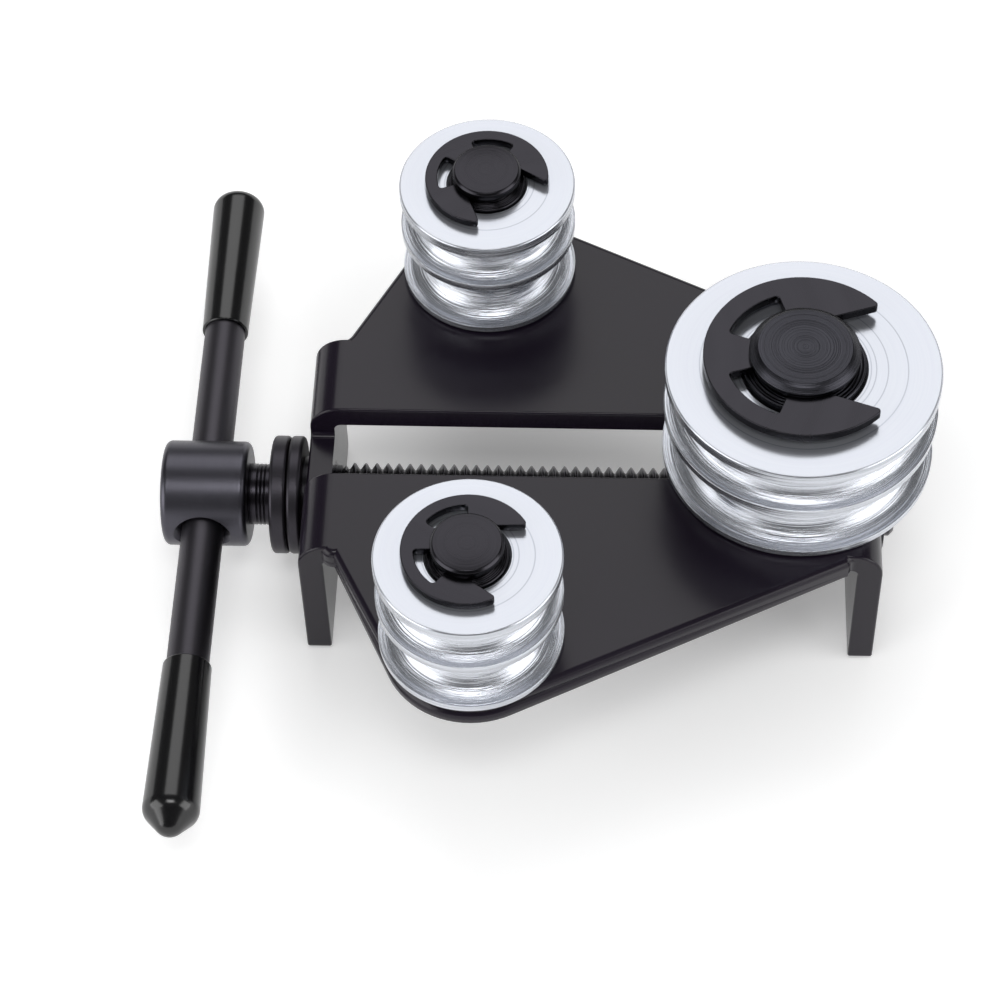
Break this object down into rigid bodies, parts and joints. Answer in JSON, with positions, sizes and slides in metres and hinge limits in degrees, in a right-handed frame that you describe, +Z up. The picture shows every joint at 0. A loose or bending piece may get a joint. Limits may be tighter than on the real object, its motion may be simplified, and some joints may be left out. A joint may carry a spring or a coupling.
{
  "type": "pipe bender",
  "caption": "Slotted bent plate with grooved rollers, one of them on a carriage that a screw with a sliding T-bar draws along to bend thin pipe.",
  "frame": {"origin": "middle between the two feet, on the surface they stand on", "axes": "+Z up, +X along the slot away from the T-bar, +Y from the front roller to the rear roller"},
  "size_m": [0.1087, 0.1138, 0.0476],
  "materials": {
    "black_coat": "satin black powder coat",
    "turned_steel": "turned and bright zinc plated",
    "black_oxide": "black oxide",
    "shim_steel": "dark steel",
    "black_plastic": "glossy dipped sleeve"
  },
  "bodies": {
    "base": {"base_plate": "black_coat", "front_roller_pin": "black_oxide", "rear_roller_pin": "black_oxide", "front_clip": "black_oxide", "rear_clip": "black_oxide", "front_washer": "shim_steel", "rear_washer": "shim_steel", "pin_nuts": "black_oxide", "end_bush": "shim_steel"},
    "front_roller": {"front_roller": "turned_steel"},
    "rear_roller": {"rear_roller": "turned_steel"},
    "carriage": {"carriage_block": "black_oxide", "forming_roller_pin": "black_oxide", "forming_clip": "black_oxide", "forming_washer": "shim_steel"},
    "forming_roller": {"forming_roller": "turned_steel"},
    "screw": {"lead_screw": "black_oxide", "screw_head": "black_oxide", "thrust_collar": "black_oxide", "thrust_washer": "black_oxide", "screw_clip": "black_oxide"},
    "bar": {"tommy_bar": "black_oxide", "front_grip": "black_plastic", "rear_grip": "black_plastic"}
  },
  "joints": [
    {"name": "screw_turn", "type": "hinge", "parent": "base", "child": "screw", "pos_m": [-0.04035, 0, 0.012], "axis": [1, 0, 0], "range_deg": [0, 12900]},
    {"name": "carriage_slide", "type": "slide", "parent": "base", "child": "carriage", "axis": [-1, 0, 0], "range_m": [0, 0.0569]},
    {"name": "forming_roller_turn", "type": "hinge", "parent": "carriage", "child": "forming_roller", "pos_m": [0.02861, 0, 0.0343], "axis": [0, 0, 1], "continuous": true},
    {"name": "front_roller_turn", "type": "hinge", "parent": "base", "child": "front_roller", "pos_m": [-0.01555, -0.0323, 0.0343], "axis": [0, 0, 1], "continuous": true},
    {"name": "rear_roller_turn", "type": "hinge", "parent": "base", "child": "rear_roller", "pos_m": [-0.01555, 0.0323, 0.0343], "axis": [0, 0, 1], "continuous": true},
    {"name": "bar_slide", "type": "slide", "parent": "screw", "child": "bar", "axis": [0, 1, 0], "range_m": [-0.022, 0.022]}
  ],
  "couplings": [
    {"joint": "carriage_slide", "follows": "screw_turn", "m_per_rad": 0.00025266}
  ]
}
